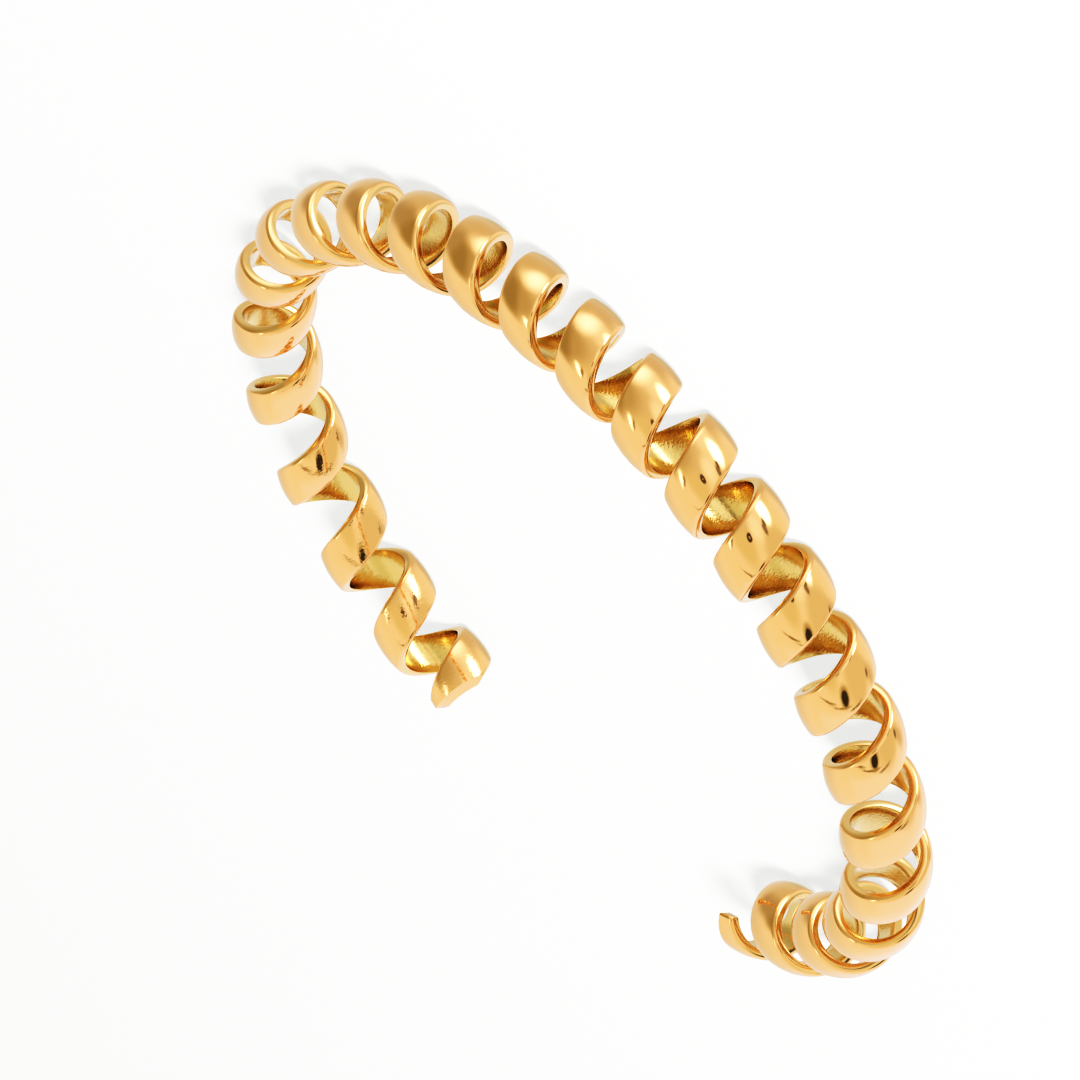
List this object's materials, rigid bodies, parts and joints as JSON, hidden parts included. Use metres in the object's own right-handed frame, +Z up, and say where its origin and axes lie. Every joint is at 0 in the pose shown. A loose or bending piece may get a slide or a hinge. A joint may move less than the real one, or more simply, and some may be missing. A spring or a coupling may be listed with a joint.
{
  "type": "spiral coil cuff bracelet",
  "caption": "Open oval cuff bracelet made of one domed gold-finished strip wound as a hollow right-handed coil, with a gap for the wrist.",
  "frame": {"origin": "on the surface that the cuff lies on, under the middle of its length and width", "axes": "+X along the long way of the oval, +Y away from the gap for the wrist, +Z up, square to the plane of the oval"},
  "size_m": [0.0692, 0.0594, 0.006],
  "materials": {
    "polished_gold": "polished gold-coloured plating, brighter on the domed outer face and fine-grained on the inner face"
  },
  "bodies": {
    "root": {"coil_strip": "polished_gold"}
  },
  "joints": []
}
